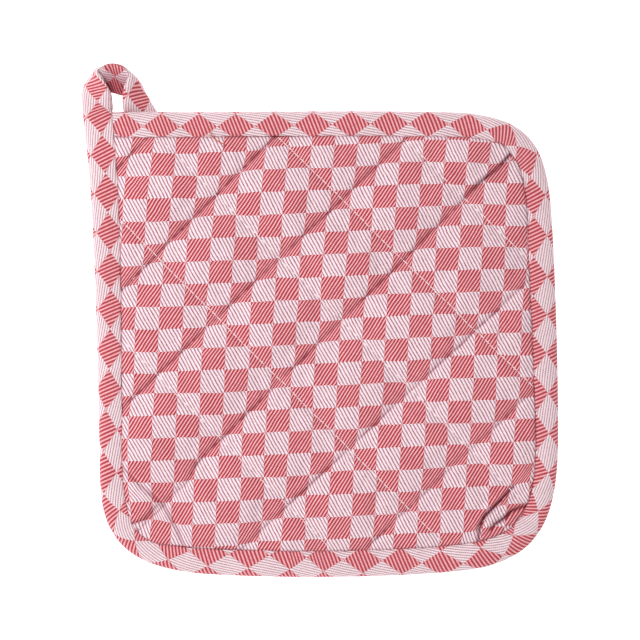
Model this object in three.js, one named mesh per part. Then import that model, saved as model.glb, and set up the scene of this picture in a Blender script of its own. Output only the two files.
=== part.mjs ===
// A quilted square pot holder with a bias-bound edge and a hanging loop, lying on its back.
// Millimetres, +Z up, X across the face, Y up the face. Z = 0 is the surface it lies on.
// Three pieces: the quilted pad, the binding folded round its edge, and the loop, which is the
// last stretch of the same tape, run past the corner, turned over and tucked under the pad.
import * as THREE from "three";

// Main sizes.
const FABRIC_GAP = 0.35; // between cloth faces that lie against each other
const EDGE_THICKNESS = 6.6; // the bound edge, from its lower flap to its upper one
const FLAP = 1.2; // one flap of binding: two turned layers of cloth
const FLAP_DROP = 0.7; // how far the upper flap slopes down to its stitched edge
const SEAM_HEIGHT = 5.3; // the pad's face where the binding's inner edge holds it down
const CROWN_HEIGHT = 8.8; // the tops of the quilted pillows
const PAD_EDGE_INSET = 3.4; // from the outer fold of the binding to the padding inside it
const PADDING_SLACK = 0.3; // extra room between the padding and the lower flap

// How finely the solids are cut.
const GRID = 40; // cells along each side of the pad's face
const EDGE_STEPS = 190; // sections along the binding
const LOOP_STEPS = 44; // sections along the loop

// The outer edge, from where the binding starts beside the loop, clockwise, up to the loop's foot.
// Each row is a cubic curve that starts where the row above ends.
const EDGE_START = [-89.1, 90.5];
const EDGE_CURVES = [
  { stretch: "top side", leaving: [-45, 90.4], arriving: [10, 91.6], end: [53.8, 90.7] },
  { stretch: "top right corner", leaving: [90, 90], arriving: [97.5, 78], end: [100.3, 52.4] },
  { stretch: "right side", leaving: [101.9, 37], arriving: [103.9, -15], end: [103.8, -50] },
  { stretch: "bottom right corner", leaving: [103.7, -86], arriving: [97, -105.5], end: [61.4, -109.3] },
  { stretch: "bottom side", leaving: [36, -112], arriving: [-10, -113], end: [-47.6, -110.8] },
  { stretch: "bottom left corner", leaving: [-82, -108.7], arriving: [-95.3, -97], end: [-95.9, -70] },
  { stretch: "left side", leaving: [-96.4, -45], arriving: [-97.6, 25], end: [-100.3, 60] },
  { stretch: "foot of the loop", leaving: [-101.1, 70], arriving: [-102.5, 80], end: [-103.4, 90.1] },
];

// The width of binding that shows, by the share of the way along the edge.
const BINDING_WIDTHS = [
  { share: 0, width: 11.2 },
  { share: 0.2, width: 11.0 },
  { share: 0.235, width: 10.0 },
  { share: 0.25, width: 10.8 },
  { share: 0.3, width: 11.0 },
  { share: 0.35, width: 11.3 },
  { share: 0.45, width: 10.0 },
  { share: 0.52, width: 11.9 },
  { share: 0.6, width: 11.7 },
  { share: 0.69, width: 11.6 },
  { share: 0.71, width: 10.8 },
  { share: 0.722, width: 9.2 },
  { share: 0.74, width: 9.2 },
  { share: 0.765, width: 10.8 },
  { share: 0.8, width: 10.1 },
  { share: 0.9, width: 11.6 },
  { share: 1, width: 12.9 },
];

// One section through the bound edge. Each point is a share of the binding's width in from the
// outer fold, plus an inset in millimetres, at a height up. The section runs over the top, round
// the fold, along the underside and back inside.
const BINDING_SECTION = [
  { share: 1, inset: 0, up: EDGE_THICKNESS - FLAP_DROP },
  { share: 0.86, inset: 0, up: EDGE_THICKNESS - 0.15 },
  { share: 0.5, inset: 0, up: EDGE_THICKNESS + 0.25 },
  { share: 0, inset: 2.4, up: EDGE_THICKNESS - 0.5 },
  { share: 0, inset: 0.6, up: EDGE_THICKNESS - 2 },
  { share: 0, inset: 0, up: EDGE_THICKNESS / 2 },
  { share: 0, inset: 0.7, up: 1.4 },
  { share: 0, inset: 2.8, up: 0 },
  { share: 1, inset: 0, up: 0 },
  { share: 1, inset: 0, up: FLAP },
  { share: 0, inset: 3, up: FLAP },
  { share: 0, inset: 1.7, up: EDGE_THICKNESS / 2 },
  { share: 0, inset: 3, up: EDGE_THICKNESS - 1.6 },
  { share: 1, inset: 0, up: EDGE_THICKNESS - FLAP_DROP - FLAP },
];

// The quilting: two crossing sets of stitched seams. A rising seam runs up to the right and is
// placed by its distance down to the right of the centre, a falling one the other way about.
// Lean is how far a seam drifts in each millimetre of its length.
const RISING_SEAMS = [
  { at: -108.7, lean: 0 },
  { at: -70.1, lean: 0 },
  { at: -31.4, lean: 0.025 },
  { at: 6.7, lean: 0.008 },
  { at: 49.3, lean: 0.035 },
  { at: 85.8, lean: 0.03 },
  { at: 111.4, lean: -0.06 },
];
const FALLING_SEAMS = [
  { at: -104.9, lean: 0 },
  { at: -66.8, lean: 0 },
  { at: -30.6, lean: 0 },
  { at: 6.5, lean: 0 },
  { at: 43.9, lean: 0.01 },
  { at: 81.7, lean: 0.015 },
  { at: 118.5, lean: 0 },
];
const RISING_DEPTH = 0.82; // the share of the pillow's height that a seam takes away
const FALLING_DEPTH = 0.5;
const SEAM_NOTCH = 2.9; // half width of the groove at the stitches
const SEAM_SWELL = 8; // half width of the rounding beside it
const NOTCH_SHARE = 0.62; // how much of a seam's depth is in its sharp groove
const EDGE_SWELL = 4; // how quickly the pad rises from the binding
const BACK_GROOVE = 1.5; // depth of the seams on the side it lies on
const BACK_FLAT = 0.3; // what the surface presses flat between them

// Puckers near the corners, each a soft trough from one point to another.
const PUCKERS = [
  { from: [82, 73], to: [62, 55], depth: 1.1, half: 2.6 },
  { from: [92, -80.5], to: [73, -90.5], depth: 1.3, half: 2.4 },
  { from: [84, -73], to: [68, -94], depth: 0.9, half: 2.6 },
  { from: [-85, -70], to: [-57, -96], depth: 0.9, half: 2.8 },
];

// Where the tape's end lies under the corner, the pad and its binding are lifted off the surface.
const LIFT = { x: -76.5, y: 86, reach: 13, halfX: 7, halfY: 5, height: 3.1, squeeze: 0.55 };

// The loop as a strip between its two edges, in order along the tape. The first edge is on the
// outside of the left leg, falls under at the turn and ends on the right. The second starts beside
// the hole, stands up as the rim at the turn and comes down on the hole's other side.
const LOOP_SECTIONS = [
  { first: [-103.4, 90.2, 3.0], second: [-90.5, 91.4, 3.3], thick: 5.4 },
  { first: [-103.9, 96.5, 2.6], second: [-90.4, 95.2, 4.2], thick: 4.1 },
  { first: [-103.4, 101.2, 2.1], second: [-91.0, 99.4, 6.6], thick: 3.4 },
  { first: [-100.9, 105.7, 1.8], second: [-93.4, 103.4, 9.6], thick: 3.1 },
  { first: [-96.8, 107.6, 1.7], second: [-95.8, 107.4, 11.8], thick: 3.0 },
  { first: [-92.6, 100.6, 1.6], second: [-93.4, 110.2, 10.6], thick: 3.2 },
  { first: [-89.3, 98.9, 1.7], second: [-89.3, 111.4, 8.9], thick: 3.2 },
  { first: [-84.6, 98.2, 1.7], second: [-84.8, 109.5, 9.5], thick: 3.2 },
  { first: [-79.0, 101.6, 1.6], second: [-82.8, 105.8, 11.0], thick: 3.2 },
  { first: [-75.8, 98.4, 1.5], second: [-85.0, 100.3, 10.4], thick: 3.0 },
  { first: [-73.3, 94.4, 1.3], second: [-85.4, 94.9, 7.4], thick: 2.6 },
  { first: [-71.0, 90.6, 1.15], second: [-85.2, 90.8, 3.2], thick: 2.2 },
  { first: [-70.5, 86.6, 1.15], second: [-84.0, 86.8, 1.5], thick: 2.1 },
  { first: [-70.5, 82.4, 1.15], second: [-82.9, 82.6, 1.25], thick: 2.1 },
];
const LOOP_SECTION_SIDES = 10;
const TAPE_SQUARENESS = { wide: 0.4, deep: 0.6 }; // powers that square off the tape's oval section

// The border's two ends meet when they are this close.
const BORDER_CLOSE = 0.5;

// A corner point that is 45 degrees between two sides is this much further out than the sides.
const MITRE = Math.SQRT2;

const clamp01 = (t) => Math.min(1, Math.max(0, t));
const mix = (a, b, t) => a + (b - a) * t;
const smooth = (t) => clamp01(t) ** 2 * (3 - 2 * clamp01(t));

// The binding's width at one share of the way along, eased between the rows of its table.
function widthAt(share) {
  const i = Math.max(1, BINDING_WIDTHS.findIndex((row) => row.share >= share));
  const low = BINDING_WIDTHS[i - 1];
  const high = BINDING_WIDTHS[i];
  return mix(low.width, high.width, smooth((share - low.share) / (high.share - low.share)));
}

// Stations along the outer edge: a point, the outward direction and the binding's width.
function edgeStations() {
  const path = new THREE.CurvePath();
  let start = new THREE.Vector2(...EDGE_START);
  for (const row of EDGE_CURVES) {
    const end = new THREE.Vector2(...row.end);
    const leaving = new THREE.Vector2(...row.leaving);
    const arriving = new THREE.Vector2(...row.arriving);
    path.add(new THREE.CubicBezierCurve(start, leaving, arriving, end));
    start = end;
  }
  return Array.from({ length: EDGE_STEPS + 1 }, (_, i) => {
    const share = i / EDGE_STEPS;
    const point = path.getPointAt(share);
    const tangent = path.getTangentAt(share);
    return { point, outward: new THREE.Vector2(-tangent.y, tangent.x), width: widthAt(share) };
  });
}

// How much of a seam's depth is left at a distance from it: a sharp notch in a broad swell.
function seamShape(distance) {
  const notch = Math.exp(-((distance / SEAM_NOTCH) ** 2));
  const swell = Math.exp(-((distance / SEAM_SWELL) ** 2));
  return mix(swell, notch, NOTCH_SHARE);
}

// The nearest seam of one set, as its shape at that point.
function nearestSeam(seams, across, along) {
  const distances = seams.map((seam) => Math.abs(across - seam.at - seam.lean * along));
  return seamShape(Math.min(...distances));
}

function seamsAt(x, y) {
  const downRight = (x - y) / Math.SQRT2;
  const upRight = (x + y) / Math.SQRT2;
  return {
    rising: nearestSeam(RISING_SEAMS, downRight, upRight),
    falling: nearestSeam(FALLING_SEAMS, upRight, downRight),
  };
}

// How deep the corner puckers are at one point.
function puckerDepth(x, y) {
  return PUCKERS.reduce((sum, { from, to, depth, half }) => {
    const run = [to[0] - from[0], to[1] - from[1]];
    const length2 = run[0] ** 2 + run[1] ** 2;
    const t = clamp01(((x - from[0]) * run[0] + (y - from[1]) * run[1]) / length2);
    const away = Math.hypot(x - from[0] - t * run[0], y - from[1] - t * run[1]);
    return sum + depth * Math.exp(-((away / half) ** 2));
  }, 0);
}

function faceHeight(x, y, fromEdge) {
  const { rising, falling } = seamsAt(x, y);
  const rise = 1 - Math.exp(-fromEdge / EDGE_SWELL);
  const pillow = (1 - RISING_DEPTH * rising) * (1 - FALLING_DEPTH * falling);
  const full = (CROWN_HEIGHT - SEAM_HEIGHT) * pillow - puckerDepth(x, y);
  return SEAM_HEIGHT + rise * Math.max(full, 0);
}

function backHeight(x, y) {
  const { rising, falling } = seamsAt(x, y);
  return Math.max(0, BACK_GROOVE * Math.max(rising, falling) - BACK_FLAT);
}

// Raises a point of the pad or binding where the loop's end lies under it.
function lifted([x, y, z]) {
  const away = Math.hypot(
    Math.max(0, Math.abs(x - LIFT.x) - LIFT.halfX),
    Math.max(0, Math.abs(y - LIFT.y) - LIFT.halfY),
  );
  const lift = LIFT.height * smooth(1 - away / LIFT.reach);
  return [x, y, lift + z * (1 - (LIFT.squeeze * lift) / EDGE_THICKNESS)];
}

// A mesh from rows of points: each row joins the next, and a row may close on itself.
function surface(rows, closedRows) {
  const faces = [];
  const across = rows[0].length;
  const cells = closedRows ? across : across - 1;
  for (let i = 0; i + 1 < rows.length; i++) {
    for (let j = 0; j < cells; j++) {
      const a = rows[i][j];
      const b = rows[i][(j + 1) % across];
      const c = rows[i + 1][(j + 1) % across];
      const d = rows[i + 1][j];
      faces.push(a, b, c, a, c, d);
    }
  }
  return faces;
}

// A flat cap over a ring of points, cut into triangles by the ring's flat outline.
function cap(ring, outline) {
  const contour = outline.map(([x, y]) => new THREE.Vector2(x, y));
  return THREE.ShapeUtils.triangulateShape(contour, []).flatMap((face) => face.map((i) => ring[i]));
}

function meshOf(name, corners, material) {
  const geometry = new THREE.BufferGeometry();
  geometry.setAttribute("position", new THREE.Float32BufferAttribute(corners.flat(), 3));
  geometry.computeVertexNormals();
  const mesh = new THREE.Mesh(geometry, material);
  mesh.name = name;
  return mesh;
}

// The pad's visible border: the binding's inner edge as a closed line, cut where the loop's foot
// crosses it, with each point's outward direction and reach into the binding.
function innerBorder(stations) {
  const border = stations.map(({ point, outward, width }) => ({
    x: point.x - outward.x * (width + FABRIC_GAP),
    y: point.y - outward.y * (width + FABRIC_GAP),
    reach: width + FABRIC_GAP - PAD_EDGE_INSET,
  }));
  return border.filter(({ y }, i) => i < EDGE_STEPS / 2 || y < border[0].y - BORDER_CLOSE);
}

// Equally spaced points along part of the border, both ends included.
function spaced(border, from, to, cells) {
  const line = [];
  for (let i = from; i <= to; i++) line.push(border[i % border.length]);
  const lengths = [0];
  for (let i = 1; i < line.length; i++) {
    lengths.push(lengths[i - 1] + Math.hypot(line[i].x - line[i - 1].x, line[i].y - line[i - 1].y));
  }
  return Array.from({ length: cells + 1 }, (_, k) => {
    const wanted = (lengths.at(-1) * k) / cells;
    const i = Math.min(Math.max(1, lengths.findIndex((l) => l >= wanted)), line.length - 1);
    const t = clamp01((wanted - lengths[i - 1]) / (lengths[i] - lengths[i - 1]));
    const [a, b] = [line[i - 1], line[i]];
    return { x: mix(a.x, b.x, t), y: mix(a.y, b.y, t), reach: mix(a.reach, b.reach, t) };
  });
}

// The border's point that lies furthest towards a corner of the square.
function cornerIndex(border, towardsX, towardsY) {
  const scores = border.map(({ x, y }) => x * towardsX + y * towardsY);
  return scores.indexOf(Math.max(...scores));
}

// The four sides of the pad's face, each with GRID cells: top, right, bottom, left, clockwise.
function padSides(border) {
  const topRight = cornerIndex(border, 1, 1);
  const bottomRight = cornerIndex(border, 1, -1);
  const bottomLeft = cornerIndex(border, -1, -1);
  return [
    spaced(border, 0, topRight, GRID),
    spaced(border, topRight, bottomRight, GRID),
    spaced(border, bottomRight, bottomLeft, GRID),
    spaced(border, bottomLeft, border.length, GRID),
  ];
}

// A point inside four sides: the sides' blend less the corners' blend.
function insideSides([top, right, bottom, left], i, j) {
  const u = i / GRID;
  const v = j / GRID;
  const [a, b] = [top[i], bottom[GRID - i]];
  const [c, d] = [left[GRID - j], right[j]];
  const corners = [top[0], top[GRID], bottom[GRID], bottom[0]];
  const blend = (key) =>
    mix(a[key], b[key], v) +
    mix(c[key], d[key], u) -
    mix(
      mix(corners[0][key], corners[1][key], u),
      mix(corners[2][key], corners[3][key], u),
      v,
    );
  return [blend("x"), blend("y")];
}

function distanceToBorder(border, x, y) {
  return border.reduce((least, a, i) => {
    const b = border[(i + 1) % border.length];
    const [rx, ry] = [b.x - a.x, b.y - a.y];
    const t = clamp01(((x - a.x) * rx + (y - a.y) * ry) / (rx * rx + ry * ry || 1));
    return Math.min(least, Math.hypot(x - a.x - t * rx, y - a.y - t * ry));
  }, Infinity);
}

// The padding's edge inside the binding, as rings of points round the face's border.
function paddingRings(ring) {
  const outwards = ring.map((point, i) => {
    const before = ring[(i + ring.length - 1) % ring.length];
    const after = ring[(i + 1) % ring.length];
    const length = Math.hypot(after.x - before.x, after.y - before.y);
    const out = [-(after.y - before.y) / length, (after.x - before.x) / length];
    const reach = point.reach * (i === 0 ? MITRE : 1);
    return [point.x + out[0] * reach, point.y + out[1] * reach];
  });
  const upper = EDGE_THICKNESS - FLAP_DROP - FLAP - FABRIC_GAP;
  const lower = FLAP + FABRIC_GAP + PADDING_SLACK;
  return [
    ring.map(({ x, y }) => [x, y, upper]),
    outwards.map(([x, y]) => [x, y, upper]),
    outwards.map(([x, y]) => [x, y, lower]),
    ring.map(({ x, y }) => [x, y, lower]),
  ];
}

function pad(stations, material) {
  const border = innerBorder(stations);
  const sides = padSides(border);
  const face = [];
  const back = [];
  for (let j = 0; j <= GRID; j++) {
    face.push([]);
    back.push([]);
    for (let i = 0; i <= GRID; i++) {
      const [x, y] = insideSides(sides, i, j);
      const onBorder = i === 0 || j === 0 || i === GRID || j === GRID;
      const fromEdge = onBorder ? 0 : distanceToBorder(border, x, y);
      face[j].push(lifted([x, y, faceHeight(x, y, fromEdge)]));
      back[j].push(lifted([x, y, backHeight(x, y)]));
    }
  }
  const around = (grid) => [
    ...grid[0].slice(0, GRID),
    ...grid.slice(0, GRID).map((row) => row[GRID]),
    ...grid[GRID].slice(1).reverse(),
    ...grid.slice(1).map((row) => row[0]).reverse(),
  ];
  const ring = sides.flatMap((side) => side.slice(0, GRID));
  const wall = [around(face), ...paddingRings(ring).map((row) => row.map(lifted)), around(back)];
  const corners = [
    ...surface(face.map((row) => [...row].reverse()), false),
    ...surface(wall, true),
    ...surface(back, false),
  ];
  return meshOf("quilted_pad", corners, material);
}

function binding(stations, material) {
  const rows = stations.map(({ point, outward, width }) =>
    BINDING_SECTION.map(({ share, inset, up }) => {
      const inwards = share * width + inset;
      return lifted([point.x - outward.x * inwards, point.y - outward.y * inwards, up]);
    }),
  );
  const outline = BINDING_SECTION.map(({ share, inset, up }) => [share * stations[0].width + inset, up]);
  const corners = [
    ...surface(rows.map((row) => [...row].reverse()), true),
    ...cap(rows[0], outline),
    ...cap(rows.at(-1), outline).reverse(),
  ];
  return meshOf("edge_binding", corners, material);
}

// The tape's folded section as a flattened oval, from -1 to 1 both ways.
function tapeOutline() {
  const flattened = (value, power) => Math.sign(value) * Math.abs(value) ** power;
  return Array.from({ length: LOOP_SECTION_SIDES }, (_, k) => {
    const angle = (2 * Math.PI * (k + 0.5)) / LOOP_SECTION_SIDES;
    const wide = flattened(Math.cos(angle), TAPE_SQUARENESS.wide);
    return [wide, flattened(Math.sin(angle), TAPE_SQUARENESS.deep)];
  });
}

// The loop's strip, carried along smooth curves through its two edges. Its foot starts a little
// clear of the binding that it runs on from.
function loop(material) {
  const first = new THREE.CatmullRomCurve3(LOOP_SECTIONS.map((s) => new THREE.Vector3(...s.first)));
  const second = new THREE.CatmullRomCurve3(LOOP_SECTIONS.map((s) => new THREE.Vector3(...s.second)));
  const middle = (t) => first.getPoint(t).add(second.getPoint(t)).multiplyScalar(0.5);
  const outline = tapeOutline();
  const rows = Array.from({ length: LOOP_STEPS + 1 }, (_, i) => {
    const t = i / LOOP_STEPS;
    const across = second.getPoint(t).sub(first.getPoint(t));
    const step = 0.5 / LOOP_STEPS;
    const along = middle(Math.min(1, t + step)).sub(middle(Math.max(0, t - step)));
    const outside = across.clone().cross(along).normalize();
    const row = t * (LOOP_SECTIONS.length - 1);
    const near = LOOP_SECTIONS[Math.floor(row)];
    const next = LOOP_SECTIONS[Math.min(Math.floor(row) + 1, LOOP_SECTIONS.length - 1)];
    const halfThick = mix(near.thick, next.thick, row % 1) / 2;
    const centre = middle(t);
    return outline.map(([wide, deep]) => {
      const point = centre
        .clone()
        .addScaledVector(across, wide / 2)
        .addScaledVector(outside, deep * halfThick);
      return [point.x, point.y, point.z];
    });
  });
  rows[0] = rows[0].map(([x, y, z]) => [x, y + FABRIC_GAP, z]);
  const corners = [
    ...surface(rows.map((row) => [...row].reverse()), true),
    ...cap(rows[0], outline),
    ...cap(rows.at(-1), outline).reverse(),
  ];
  return meshOf("hanging_loop", corners, material);
}

const padCloth = new THREE.MeshStandardMaterial({ color: 0xd8a2aa, roughness: 0.9, metalness: 0 });
const tapeCloth = new THREE.MeshStandardMaterial({ color: 0xdda9b0, roughness: 0.9, metalness: 0 });

const stations = edgeStations();
const potHolder = new THREE.Group();
potHolder.add(pad(stations, padCloth));
potHolder.add(binding(stations, tapeCloth));
potHolder.add(loop(tapeCloth));

export default potHolder;
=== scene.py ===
"""A quilted check pot holder with a bias-bound edge and a hanging loop, lying on a pale floor.

Tables and shape functions are in millimetres; properties and finished meshes are in metres.
+X runs across the face, +Y up the face towards the loop, +Z out of the face.
"""
import math

import bpy
import numpy as np
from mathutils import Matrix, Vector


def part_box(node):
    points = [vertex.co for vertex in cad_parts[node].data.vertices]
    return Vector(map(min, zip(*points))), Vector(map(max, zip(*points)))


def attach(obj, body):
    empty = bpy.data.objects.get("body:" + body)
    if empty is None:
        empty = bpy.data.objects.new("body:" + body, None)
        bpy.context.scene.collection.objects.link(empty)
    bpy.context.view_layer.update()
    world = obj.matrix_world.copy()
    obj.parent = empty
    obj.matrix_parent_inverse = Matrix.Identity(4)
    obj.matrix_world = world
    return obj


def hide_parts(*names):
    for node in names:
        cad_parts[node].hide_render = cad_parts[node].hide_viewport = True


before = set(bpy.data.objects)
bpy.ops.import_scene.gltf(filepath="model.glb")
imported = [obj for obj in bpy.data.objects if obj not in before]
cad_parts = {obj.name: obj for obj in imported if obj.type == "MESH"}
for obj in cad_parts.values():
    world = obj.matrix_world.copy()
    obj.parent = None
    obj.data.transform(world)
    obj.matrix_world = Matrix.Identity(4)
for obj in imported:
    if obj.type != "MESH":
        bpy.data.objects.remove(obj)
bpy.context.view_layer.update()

bl_info = {
    "name": "Quilted Pot Holder",
    "version": (1, 0, 0),
    "blender": (4, 5, 0),
    "location": "View3D > Sidebar > Pot Holder",
    "description": "Builds a quilted check pot holder with its bias tape, loop, stitching and stage",
    "category": "Add Mesh",
}

MM = 0.001
ROOT2 = math.sqrt(2)
SEED = 7
PAD_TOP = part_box("quilted_pad")[1].z

# The outer edge of the binding, clockwise from beside the loop, as cubic curves end to end.
EDGE_START = (-89.1, 90.5)
EDGE_CURVES = [
    # stretch, leaving, arriving, end
    ("top side", (-45, 90.4), (10, 91.6), (53.8, 90.7)),
    ("top right corner", (90, 90), (97.5, 78), (100.3, 52.4)),
    ("right side", (101.9, 37), (103.9, -15), (103.8, -50)),
    ("bottom right corner", (103.7, -86), (97, -105.5), (61.4, -109.3)),
    ("bottom side", (36, -112), (-10, -113), (-47.6, -110.8)),
    ("bottom left corner", (-82, -108.7), (-95.3, -97), (-95.9, -70)),
    ("left side", (-96.4, -45), (-97.6, 25), (-100.3, 60)),
    ("foot of the loop", (-101.1, 70), (-102.5, 80), (-103.4, 90.1)),
]
# Width of binding that shows, by the share of the way along the edge.
BINDING_WIDTHS = [
    (0, 11.2), (0.2, 11.0), (0.235, 10.0), (0.25, 10.8), (0.3, 11.0), (0.35, 11.3), (0.45, 10.0),
    (0.52, 11.9), (0.6, 11.7), (0.69, 11.6), (0.71, 10.8), (0.722, 9.2), (0.74, 9.2), (0.765, 10.8),
    (0.8, 10.1), (0.9, 11.6), (1, 12.9),
]
# All rows but the last three, which are the loop's, are read from the photo.
DIAMOND_ROW = [
    # share, diamond, inset
    (0.006, 0, 6), (0.071, 3, 6.5), (0.139, 6, 5.5), (0.184, 8, 5), (0.233, 10, 6), (0.284, 12, 7.5),
    (0.332, 14, 9), (0.377, 16, 10.5), (0.448, 19, 9.5), (0.473, 20, 10.5), (0.498, 21, 13.5),
    (0.549, 23, 15), (0.573, 24, 17.5), (0.619, 26, 19.5), (0.639, 27, 20.5), (0.712, 30, 21),
    (0.763, 32, 24), (0.813, 34, 25), (0.837, 35, 27.5), (0.884, 37, 29.5), (0.929, 39, 30),
    (0.997, 42, 30), (1.015, 43, 29), (1.055, 45, 27.5), (1.074, 46, 27.5),
]
# How high a diamond is, across the tape.
DIAMOND_HEIGHT = 11.5
# Tape that the curve of the fold takes up and that doesn't show from above.
FOLD_TAKES_UP = 1.6
# Quilting seams. A rising seam is placed by its distance down to the right of the centre and a
# falling one by its distance up to the right; lean is its drift along its length, take-up is the
# cloth that it swallows, pull is how deep it is drawn beside the others (with none it shows no
# stitches), and bend is how far its lower left or upper left end swings aside.
RISING_SEAMS = [
    # at, lean, take-up, pull, bend
    (-108.7, 0, 1.9, 0.8, 0), (-70.1, 0, 2.6, 1, 0), (-31.4, 0.025, 1.7, 1, 0), (6.7, 0.008, 1.7, 1.1, 3),
    (49.3, 0.035, 1.7, 0.95, 0), (85.8, 0.03, 1.7, 0.8, 0), (111.4, -0.06, 3.0, 0.15, 0),
]
FALLING_SEAMS = [
    (-106, -0.06, 0.7, 0, 0), (-66.8, 0, 0.7, 0.8, 0), (-30.6, 0, 0.7, 1, 0), (6.5, 0, 0.7, 1, 0),
    (43.9, 0.01, 0.7, 1, 0), (81.7, 0.015, 0.7, 0.9, 0), (118.5, 0, 0.7, 0.7, 0),
]
# Where a bent end starts, along its seam, and how long it takes to swing aside.
BEND_START, BEND_LENGTH = -78, 16
# How many seams of each set lie before the centre, where the check's own zero is.
SEAMS_BEFORE_CENTRE = 3
# Where the cloth was drawn aside at the corners.
PULLED_CORNERS = [
    # x, y, reach, shift in x, shift in y
    (84, 58, 20, -1.1, -1.1), (74, 78, 11, 0, -1.3), (-77.5, -88, 12, 2.4, 2.4),
]
# Tucks near the corners, where spare cloth was caught in the sewing: each a narrow crease with a
# soft lip on both sides.
TUCKS = [
    # points along it, depth, half width
    (((86.5, 75), (83.7, 73), (78, 66), (69.3, 59.8), (62.7, 53.7)), 1.6, 0.6),
    (((84, -72), (79.2, -77.4), (75.3, -81.3), (71.4, -85.2), (69.4, -89.1), (68.6, -96.5)), 2.5, 0.85),
    (((93.5, -80), (87, -81.3), (83, -82.9), (80, -86), (76, -88.4), (74, -91)), 2.4, 0.85),
    (((-85.5, -64), (-78, -71.5), (-72.3, -76.1), (-66.5, -82), (-61.5, -91), (-59, -98)), 1.2, 0.8),
    (((-82, -88.5), (-76, -86.5), (-70.5, -80.5)), 1.3, 0.8),
]
# How the check lies on the face: its turn in radians, its shear, and the block at the centre.
CHECK_TURN, CHECK_SHEAR = 0.04, -0.1
CHECK_START = (-0.012, 1.055)
# Where the cloth was caught and crumpled as the tape was sewn on.
CRUMPLE = {"x": -79, "y": -83, "reach": 12}
# The loop's two edges in order along the tape, with its thickness.
LOOP_SECTIONS = [
    # first edge, second edge, thickness
    ((-103.4, 90.2, 3.0), (-90.5, 91.4, 3.3), 5.4),
    ((-103.9, 96.5, 2.6), (-90.4, 95.2, 4.2), 4.1),
    ((-103.4, 101.2, 2.1), (-91.0, 99.4, 6.6), 3.4),
    ((-100.9, 105.7, 1.8), (-93.4, 103.4, 9.6), 3.1),
    ((-96.8, 107.6, 1.7), (-95.8, 107.4, 11.2), 3.6),
    ((-92.6, 100.6, 1.6), (-93.4, 109.9, 10.0), 4.2),
    ((-89.3, 98.9, 1.7), (-89.3, 110.9, 8.6), 4.4),
    ((-84.6, 98.2, 1.7), (-84.8, 109.3, 9.0), 4.4),
    ((-79.0, 101.6, 1.6), (-82.6, 105.6, 10.4), 4.0),
    ((-75.8, 98.4, 1.5), (-84.8, 100.4, 9.8), 3.6),
    ((-73.3, 94.4, 1.3), (-85.6, 94.9, 7.2), 3.2),
    ((-71.0, 90.6, 1.15), (-85.6, 90.8, 3.2), 2.2),
    ((-70.4, 86.6, 1.15), (-84.3, 86.8, 1.5), 2.1),
    ((-70.0, 82.4, 1.15), (-83.9, 82.6, 1.25), 2.1),
]
# Sections of the tape from the upper flap's edge round the fold to the lower flap's edge. In is a
# share of the width and up a share of half the height. Open is the binding, closed the loop.
OPEN_SECTION = [
    # in, up
    (1, 0.78), (0.95, 0.88), (0.82, 0.97), (0.5, 1.08), (0.24, 0.98), (0.07, 0.66),
    (0, 0), (0.08, -0.7), (0.24, -0.98), (0.5, -1), (0.82, -1), (1, -1),
]
CLOSED_SECTION = [
    (1, 0.1), (0.96, 0.62), (0.82, 0.95), (0.5, 1.02), (0.2, 0.95), (0.05, 0.6),
    (0, 0), (0.05, -0.62), (0.2, -0.95), (0.5, -1), (0.85, -0.9), (1, -0.1),
]
# The loose end of red thread on the top binding, seen from above.
LOOSE_THREAD = [(-48.4, 82.9), (-47.3, 80.6), (-45.1, 77.9), (-42.9, 76.7), (-41.4, 76.1), (-41.9, 75)]
# The corner that the tape's end lies under: centre, half sizes, reach of the slope, rise, how much
# of the thickness gives way, and that thickness.
LIFT = {
    "x": -76.5, "y": 86, "half_x": 7, "half_y": 5, "reach": 13, "rise": 3.1, "squeeze": 0.55, "over": 6.6,
}
# How a seam draws the cloth down: half width and share of the groove and of the swell beside it.
# The fine crease in the middle has half widths of its own, for rising and then falling seams.
CREASE_SHARE = 0.3
FACE_CREASES, BACK_CREASES = (0.85, 0.6), (1.0, 0.8)
SEAM_BELLS = [
    # half width, share
    (2.2, 0.24), (7.5, 0.46),
]
# Half width of the strip over which a seam takes its cloth up.
TAKE_UP_HALF = 2.2
# The pad's rounded edge inside the tape: how far out of the border and how high each row is.
PAD_EDGE = [(2.2, 4.1), (3.4, 3.6), (3.9, 2.9), (3.4, 2.2), (2.2, 1.7)]
# The grid of the face (the back has half as many cells) and the rows and points of the tape.
# Tucked rows run on under the loop, and shared rows are those that the loop repeats.
PAD_CELLS = 264
EDGE_ROWS, LOOP_ROWS, TUCKED_ROWS, SHARED_ROWS = 1100, 150, 10, 2
SECTION_POINTS = 34
# Steps of each curve of the edge, stations of the face's border, and the tucked rows' spacing.
CURVE_STEPS, BORDER_ROWS, TUCKED_STEP = 400, 900, 0.7
# Heights of the tape's wrinkles and of its slower waves, and how far its sides sway.
TAPE_RIPPLE, TAPE_WAVE, TAPE_SWAY = 0.16, 0.2, 0.25
# How deep the stitches of a rising and a falling seam are sunk, and how far they stop short of
# the binding.
STITCHES_SUNK, STITCHES_CLEAR = (0.45, 0.0), 1.4
# Half the length of the lines that the seams are laid out on.
SEAM_REACH = 150
# The stage, in metres: half the floor's side, and where the soft light hangs and how wide it is.
FLOOR_REACH, LIGHT_PLACE, LIGHT_WIDTH = 3.0, (-0.68, 0.06, 0.8), 0.5
# The square sheet of the cloth simulation: its mesh, its cells a side, half its side and its run.
SHEET = "swollen sheet"
SHEET_CELLS = 96
SHEET_SIDE = 112
SHEET_FRAMES = 20
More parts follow.
